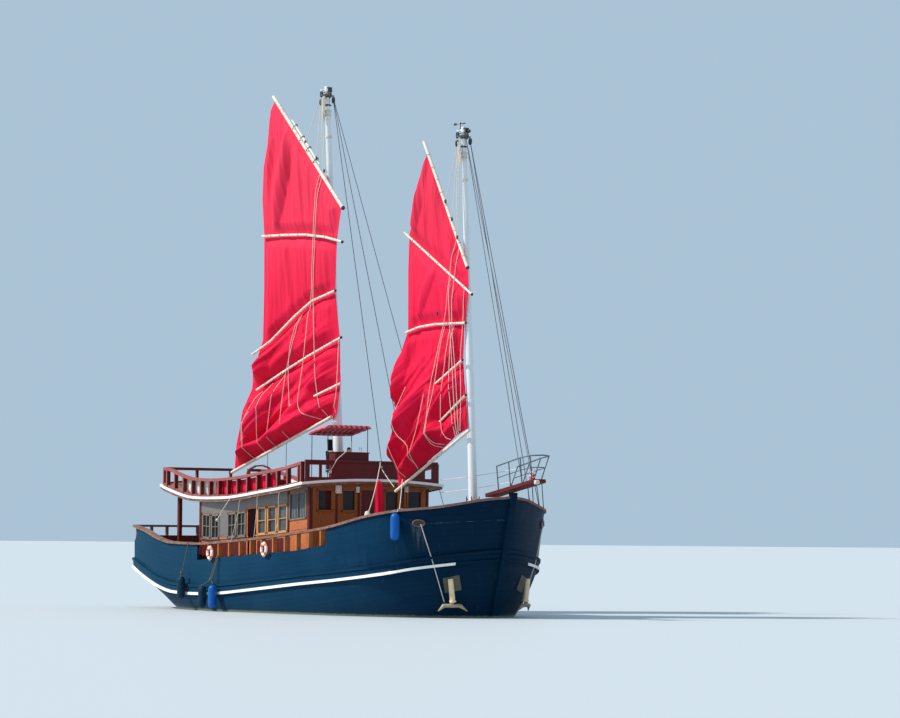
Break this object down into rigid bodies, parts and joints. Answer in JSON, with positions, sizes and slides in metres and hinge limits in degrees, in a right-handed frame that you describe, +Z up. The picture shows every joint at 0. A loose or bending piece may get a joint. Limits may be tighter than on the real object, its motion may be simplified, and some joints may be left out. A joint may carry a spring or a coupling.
{
  "type": "junk-rigged cruise ship",
  "caption": "Wooden two-masted junk-rigged cruise ship afloat: blue hull with a bluff bow, deckhouse under a railed upper deck, red battened sails.",
  "frame": {"origin": "on the centreline at the waterline, abreast of the main mast foot", "axes": "+X forward to the bow, +Y to port, +Z up"},
  "size_m": [23.6605, 8.3626, 22.5569],
  "materials": {
    "hull_paint": "semi-gloss navy blue paint on planks",
    "keel_wood": "dark antifouled timber",
    "cap_wood": "weathered hardwood",
    "mahogany": "dark red varnish",
    "teak": "bare deck planks",
    "varnish": "golden brown varnish",
    "white_paint": "white paint",
    "mast_paint": "white-grey paint on a tapered pole",
    "spar": "weathered pale pole",
    "sailcloth": "crimson sailcloth",
    "canopy_cloth": "faded red striped canvas",
    "steel": "galvanised",
    "anchor_steel": "galvanised, rust-stained",
    "bronze": "cast",
    "fender_bright": "bright blue vinyl",
    "fender_dark": "dark blue cover",
    "wire": "wire rope"
  },
  "bodies": {
    "ship": {"hull": "hull_paint", "backbone": "keel_wood", "wale_port": "hull_paint", "wale_starboard": "hull_paint", "bulwark_starboard": "hull_paint", "bulwark_port": "hull_paint", "rail_cap_starboard": "cap_wood", "rail_cap_port": "cap_wood", "bow_platform": "mahogany", "pulpit_rail": "steel", "fore_bitts": "mahogany", "stern_bitts": "mahogany", "anchor_starboard": "anchor_steel", "anchor_port": "anchor_steel", "propeller_shaft": "steel", "upper_deck": "teak", "deck_edge_band": "white_paint", "main_mast": "mast_paint", "fore_mast": "mast_paint", "main_stays": "wire", "fore_stays": "wire", "deckhouse_starboard": "varnish", "deckhouse_port": "varnish", "deckhouse_front": "varnish", "deckhouse_aft": "varnish", "upper_rail": "mahogany", "front_panel": "mahogany", "post_starboard": "mahogany", "post_port": "mahogany", "helm_console": "mahogany", "helm_seat": "mahogany", "canopy_frame": "steel", "canopy": "canopy_cloth", "aft_bench": "mahogany", "fender_quarter_aft": "fender_dark", "fender_quarter_middle": "fender_dark", "fender_quarter_fore": "fender_bright", "fender_bow": "fender_bright", "folded_parasol": "sailcloth"},
    "main_sail_rig": {"main_yard": "spar", "main_batten_1": "spar", "main_batten_2": "spar", "main_batten_3": "spar", "main_batten_4": "spar", "main_boom": "spar", "main_sail": "sailcloth"},
    "fore_sail_rig": {"fore_yard": "spar", "fore_batten_1": "spar", "fore_batten_2": "spar", "fore_batten_3": "spar", "fore_batten_4": "spar", "fore_boom": "spar", "fore_sail": "sailcloth"},
    "rudder": {"rudder": "keel_wood"},
    "propeller": {"propeller": "bronze"},
    "helm_wheel": {"helm_wheel": "varnish"},
    "front_door": {"front_door": "mahogany"},
    "starboard_door": {"starboard_door": "mahogany"},
    "port_door": {"port_door": "mahogany"},
    "aft_door": {"aft_door": "mahogany"}
  },
  "joints": [
    {"name": "main_sail_swing", "type": "hinge", "parent": "ship", "child": "main_sail_rig", "pos_m": [-0.18, 0, 8], "axis": [-0.0689, 0, 0.9976], "range_deg": [-40, 35]},
    {"name": "fore_sail_swing", "type": "hinge", "parent": "ship", "child": "fore_sail_rig", "pos_m": [8.3085, 0, 7], "axis": [-0.0539, 0, 0.9985], "range_deg": [-45, 40]},
    {"name": "rudder_turn", "type": "hinge", "parent": "ship", "child": "rudder", "pos_m": [-9.62, 0, -1.2], "axis": [0, 0, 1], "range_deg": [-35, 35]},
    {"name": "propeller_spin", "type": "hinge", "parent": "ship", "child": "propeller", "pos_m": [-8.89, 0, -1.22], "axis": [1, 0, 0], "continuous": true},
    {"name": "helm_wheel_turn", "type": "hinge", "parent": "ship", "child": "helm_wheel", "pos_m": [1.09, -0.6, 5.8064], "axis": [1, 0, 0], "range_deg": [-541, 541]},
    {"name": "front_door_hinge", "type": "hinge", "parent": "ship", "child": "front_door", "pos_m": [2.04, -0.4, 3.7], "axis": [0, 0, -1], "range_deg": [0, 90]},
    {"name": "aft_door_hinge", "type": "hinge", "parent": "ship", "child": "aft_door", "pos_m": [-5.46, -0.42, 3], "axis": [0, 0, 1], "range_deg": [0, 90]},
    {"name": "starboard_door_hinge", "type": "hinge", "parent": "ship", "child": "starboard_door", "pos_m": [-1.56, -2.82, 2.9], "axis": [0, 0, 1], "range_deg": [0, 90]},
    {"name": "port_door_hinge", "type": "hinge", "parent": "ship", "child": "port_door", "pos_m": [-1.56, 2.82, 2.9], "axis": [0, 0, -1], "range_deg": [0, 90]}
  ],
  "couplings": [
    {"joint": "helm_wheel_turn", "follows": "rudder_turn", "ratio": 15.43}
  ]
}
